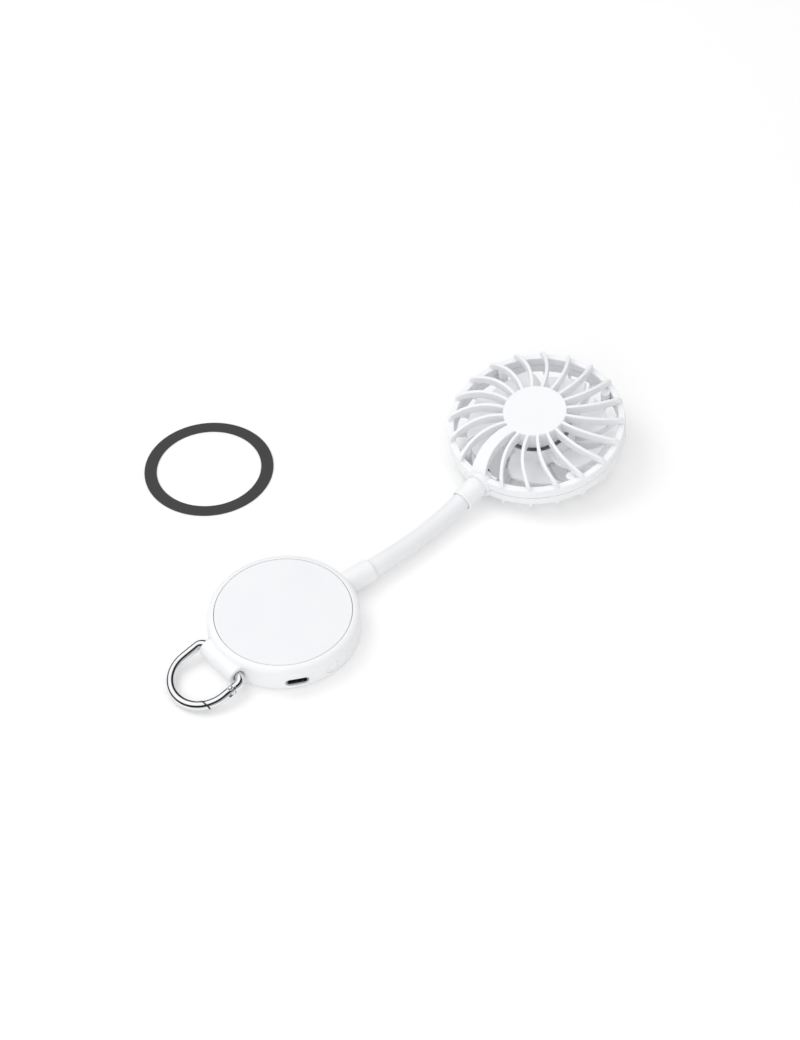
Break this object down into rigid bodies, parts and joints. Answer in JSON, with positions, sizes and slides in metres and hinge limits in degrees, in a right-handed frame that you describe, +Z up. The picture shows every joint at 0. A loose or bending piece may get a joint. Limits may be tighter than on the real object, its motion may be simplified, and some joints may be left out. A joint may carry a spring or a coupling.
{
  "type": "rechargeable handheld fan",
  "caption": "Pocket fan: round magnetic base with key-ring clip, bendable gooseneck and small caged fan head, with a loose mounting ring.",
  "frame": {"origin": "centre of the base's flat underside, on the surface that everything lies on", "axes": "+Z up, +X out of the base along the neck collar, +Y completes a right-handed frame"},
  "size_m": [0.2382, 0.1539, 0.0291],
  "materials": {
    "white_abs": "fine satin moulded ABS, cool white",
    "white_silicone": "smooth slightly glossy white silicone sleeve",
    "clip_chrome": "bright polished chrome plate",
    "steel": "zinc-plated steel",
    "nickel": "nickel-plated magnet ring",
    "brass": "turned brass",
    "battery_foil": "grey aluminium pouch foil",
    "board_green": "green solder mask",
    "black_plastic": "black moulded plastic",
    "wire_red": "red insulation",
    "wire_black": "black insulation",
    "ferrite": "dark grey bonded ferrite",
    "armature": "steel core wound in lacquered copper",
    "ring_black": "matt black coated steel"
  },
  "bodies": {
    "base": {"base_housing": "white_abs", "face_panel": "white_abs", "magnet_ring": "nickel", "magnet_yoke": "steel", "battery": "battery_foil", "battery_lead_red": "wire_red", "battery_lead_black": "wire_black", "circuit_board": "board_green", "board_screw_1": "steel", "board_screw_2": "steel", "usb_c_shell": "steel", "usb_c_tongue": "black_plastic", "tact_switch": "steel", "neck_anchor": "brass", "neck_sleeve_1": "white_silicone", "neck_core": "steel", "motor_lead_red": "wire_red", "motor_lead_black": "wire_black"},
    "head": {"neck_sleeve_7": "white_silicone", "head_collar": "white_abs", "front_grille": "white_abs", "rear_grille": "white_abs", "motor_can": "steel", "motor_end_cap": "black_plastic", "motor_bush": "brass", "motor_magnet": "ferrite", "head_screw_1": "steel", "head_screw_2": "steel", "head_screw_3": "steel", "head_screw_4": "steel"},
    "impeller": {"impeller": "white_abs", "motor_shaft": "steel", "motor_armature": "armature"},
    "clip": {"carabiner_body": "clip_chrome", "gate_rivet": "steel"},
    "gate": {"carabiner_gate": "clip_chrome", "gate_spring": "steel"},
    "button": {"power_button": "white_abs", "switch_plunger": "black_plastic"},
    "loose_ring": {"mounting_ring": "ring_black"},
    "neck_link_1": {"neck_sleeve_2": "white_silicone"},
    "neck_link_2": {"neck_sleeve_3": "white_silicone"},
    "neck_link_3": {"neck_sleeve_4": "white_silicone"},
    "neck_link_4": {"neck_sleeve_5": "white_silicone"},
    "neck_link_5": {"neck_sleeve_6": "white_silicone"}
  },
  "joints": [
    {"name": "neck_pitch_1", "type": "hinge", "parent": "base", "child": "neck_link_1", "pos_m": [0.0448, 0, 0.00625], "axis": [0.0261, -0.9997, 0], "range_deg": [-27, 27], "deforming": ["neck_core", "motor_lead_red", "motor_lead_black"]},
    {"name": "neck_yaw_1", "type": "hinge", "parent": "neck_link_1", "child": "neck_link_2", "pos_m": [0.05442, 0.00025, 0.00609], "axis": [0.0294, 0.0021, 0.9996], "range_deg": [-27, 27], "deforming": ["neck_core", "motor_lead_red", "motor_lead_black"]},
    {"name": "neck_pitch_2", "type": "hinge", "parent": "neck_link_2", "child": "neck_link_3", "pos_m": [0.06402, 0.00094, 0.00581], "axis": [0.1091, -0.994, 0], "range_deg": [-27, 27], "deforming": ["neck_core", "motor_lead_red", "motor_lead_black"]},
    {"name": "neck_yaw_2", "type": "hinge", "parent": "neck_link_3", "child": "neck_link_4", "pos_m": [0.07359, 0.00199, 0.00567], "axis": [-0.0277, -0.0038, 0.9996], "range_deg": [-27, 27], "deforming": ["neck_core", "motor_lead_red", "motor_lead_black"]},
    {"name": "neck_pitch_3", "type": "hinge", "parent": "neck_link_4", "child": "neck_link_5", "pos_m": [0.08313, 0.00332, 0.00594], "axis": [0.1577, -0.9875, 0], "range_deg": [-27, 27], "deforming": ["neck_core", "motor_lead_red", "motor_lead_black"]},
    {"name": "neck_yaw_3", "type": "hinge", "parent": "neck_link_5", "child": "head", "pos_m": [0.09258, 0.00483, 0.00689], "axis": [-0.1424, -0.0238, 0.9895], "range_deg": [-27, 27], "deforming": ["neck_core", "motor_lead_red", "motor_lead_black"]},
    {"name": "impeller_spin", "type": "hinge", "parent": "head", "child": "impeller", "pos_m": [0.14431, 0.01348, 0.01454], "axis": [-0.1424, -0.0238, 0.9895], "continuous": true},
    {"name": "clip_swing", "type": "hinge", "parent": "base", "child": "clip", "pos_m": [-0.03096, -0.00151, 0.00625], "axis": [-0.0488, 0.9988, 0], "range_deg": [-85, 110]},
    {"name": "gate_swing", "type": "hinge", "parent": "clip", "child": "gate", "pos_m": [-0.03621, -0.01499, 0.00515], "axis": [0.1838, 0.009, -0.9829], "range_deg": [0, 25], "stiffness_Nm_per_rad": 0.005, "springref_deg": -20.05},
    {"name": "power_button_press", "type": "slide", "parent": "base", "child": "button", "axis": [-0.0349, 0.9994, 0], "range_m": [0, 0.0003], "stiffness_N_per_m": 1000},
    {"name": "ring_lift", "type": "slide", "parent": "base", "child": "loose_ring", "axis": [0, 0, 1], "range_m": [0, 0.02]}
  ],
  "couplings": [
    {"joint": "neck_pitch_2", "follows": "neck_pitch_1", "ratio": 1},
    {"joint": "neck_yaw_2", "follows": "neck_yaw_1", "ratio": 1},
    {"joint": "neck_pitch_3", "follows": "neck_pitch_1", "ratio": 1},
    {"joint": "neck_yaw_3", "follows": "neck_yaw_1", "ratio": 1}
  ]
}
